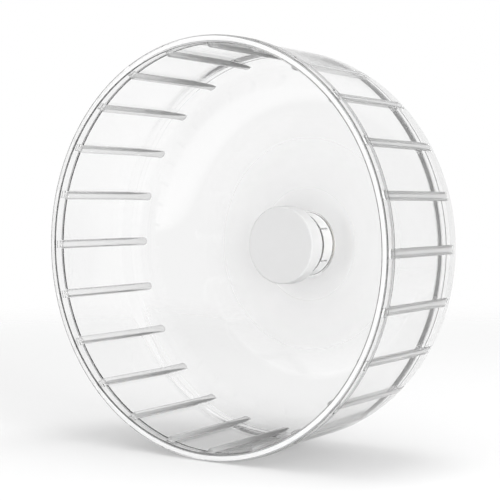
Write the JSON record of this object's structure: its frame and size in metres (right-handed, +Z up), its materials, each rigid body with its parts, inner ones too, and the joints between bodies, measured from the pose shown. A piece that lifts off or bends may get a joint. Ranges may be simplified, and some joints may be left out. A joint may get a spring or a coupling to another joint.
{
  "type": "hamster wheel",
  "caption": "Clear drum running wheel for a small pet, with foot bars, a ball-bearing hub and a rear stud with a hand nut that clamps it to a cage wall.",
  "frame": {"origin": "centre of the mounting face, where the back of the rear flange meets the cage wall, on the wheel's axis", "axes": "+Y along the axis out of the mounting face, so the open side faces -Y; +Z up; +X to the right seen from the open side"},
  "size_m": [0.21, 0.127, 0.21],
  "materials": {
    "clear_plastic": "clear polished moulding",
    "white_plastic": "satin moulded white",
    "nylon": "natural nylon",
    "bearing_steel": "ground and polished",
    "zinc_steel": "bright zinc plate"
  },
  "bodies": {
    "mount": {"spindle": "nylon", "axle_washer": "zinc_steel", "axle_clip": "zinc_steel", "bearing_inner_race": "bearing_steel", "mount_flange": "clear_plastic"},
    "drum": {"drum_shell": "clear_plastic", "front_rim": "clear_plastic", "rung_01": "clear_plastic", "rung_02": "clear_plastic", "rung_03": "clear_plastic", "rung_04": "clear_plastic", "rung_05": "clear_plastic", "rung_06": "clear_plastic", "rung_07": "clear_plastic", "rung_08": "clear_plastic", "rung_09": "clear_plastic", "rung_10": "clear_plastic", "rung_11": "clear_plastic", "rung_12": "clear_plastic", "rung_13": "clear_plastic", "rung_14": "clear_plastic", "rung_15": "clear_plastic", "rung_16": "clear_plastic", "rung_17": "clear_plastic", "rung_18": "clear_plastic", "rung_19": "clear_plastic", "rung_20": "clear_plastic", "rung_21": "clear_plastic", "rung_22": "clear_plastic", "rung_23": "clear_plastic", "rung_24": "clear_plastic", "bearing_retainer": "clear_plastic", "hub_cap": "white_plastic", "rear_bush": "nylon", "bearing_outer_race": "bearing_steel", "bearing_shield_front": "zinc_steel", "bearing_shield_rear": "zinc_steel"},
    "balls": {"ball_cage": "nylon", "ball_1": "bearing_steel", "ball_2": "bearing_steel", "ball_3": "bearing_steel", "ball_4": "bearing_steel", "ball_5": "bearing_steel", "ball_6": "bearing_steel", "ball_7": "bearing_steel"},
    "clamp": {"clamp_plate": "white_plastic"},
    "nut": {"hand_nut": "white_plastic"}
  },
  "joints": [
    {"name": "drum_spin", "type": "hinge", "parent": "mount", "child": "drum", "pos_m": [0, -0.0297, 0], "axis": [0, 1, 0], "continuous": true},
    {"name": "ball_spin", "type": "hinge", "parent": "mount", "child": "balls", "pos_m": [0, -0.0297, 0], "axis": [0, 1, 0], "continuous": true},
    {"name": "clamp_slide", "type": "slide", "parent": "mount", "child": "clamp", "axis": [0, -1, 0], "range_m": [0, 0.0056]},
    {"name": "nut_turn", "type": "hinge", "parent": "clamp", "child": "nut", "pos_m": [0, 0.0133, 0], "axis": [0, -1, 0], "range_deg": [0, 1600]}
  ],
  "couplings": [
    {"joint": "ball_spin", "follows": "drum_spin", "ratio": 0.632},
    {"joint": "clamp_slide", "follows": "nut_turn", "m_per_rad": 0.00019894}
  ]
}
